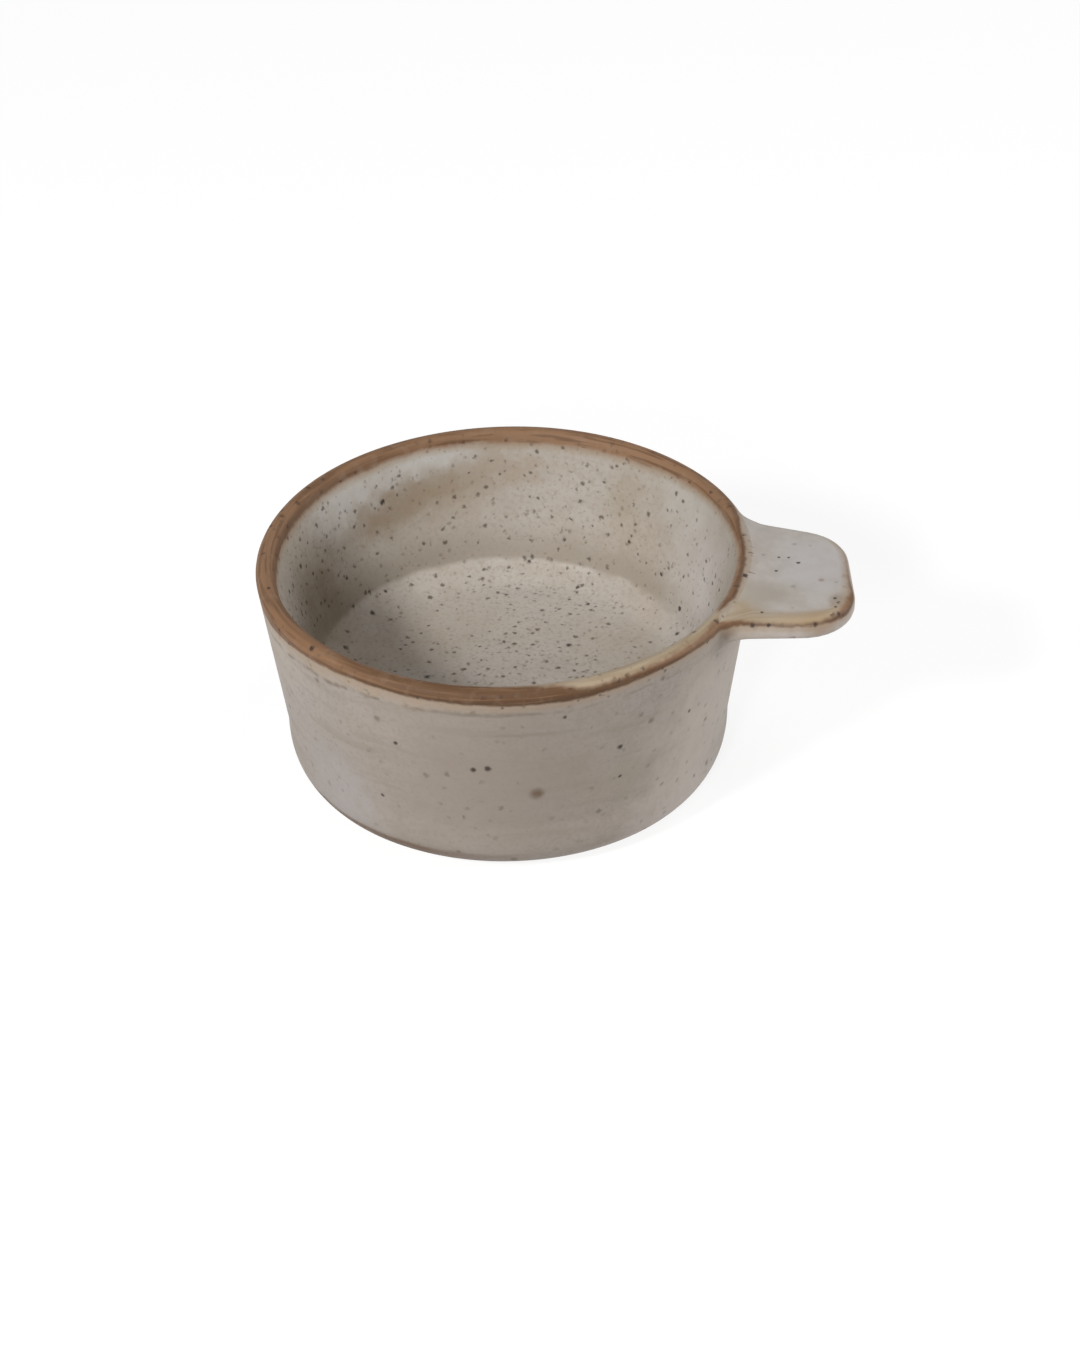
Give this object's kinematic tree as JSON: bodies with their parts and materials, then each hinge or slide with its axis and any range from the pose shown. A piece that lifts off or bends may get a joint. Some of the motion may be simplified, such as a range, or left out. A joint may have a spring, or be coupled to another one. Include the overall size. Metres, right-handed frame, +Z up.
{
  "type": "ramekin",
  "caption": "Round stoneware ramekin with a flat tab handle level with the rim, a tapering wall and a flat base, in speckled grey-cream glaze that breaks brown at the lip.",
  "frame": {"origin": "middle of the flat base, on the bowl's axis", "axes": "+Z up along the bowl's axis, +X out along the tab handle"},
  "size_m": [0.1229, 0.102, 0.049],
  "materials": {
    "stoneware": "bare buff-brown stoneware, matt",
    "slip": "fired slip, matt",
    "liner_glaze": "satin grey-cream glaze with dense iron specks, brown on the lip",
    "outer_glaze": "satin grey-cream glaze with scattered iron specks, tan on the edges"
  },
  "bodies": {
    "root": {"bowl_body": "stoneware", "tab_handle": "stoneware", "handle_slip": "slip", "liner_glaze": "liner_glaze", "outer_glaze": "outer_glaze"}
  },
  "joints": []
}
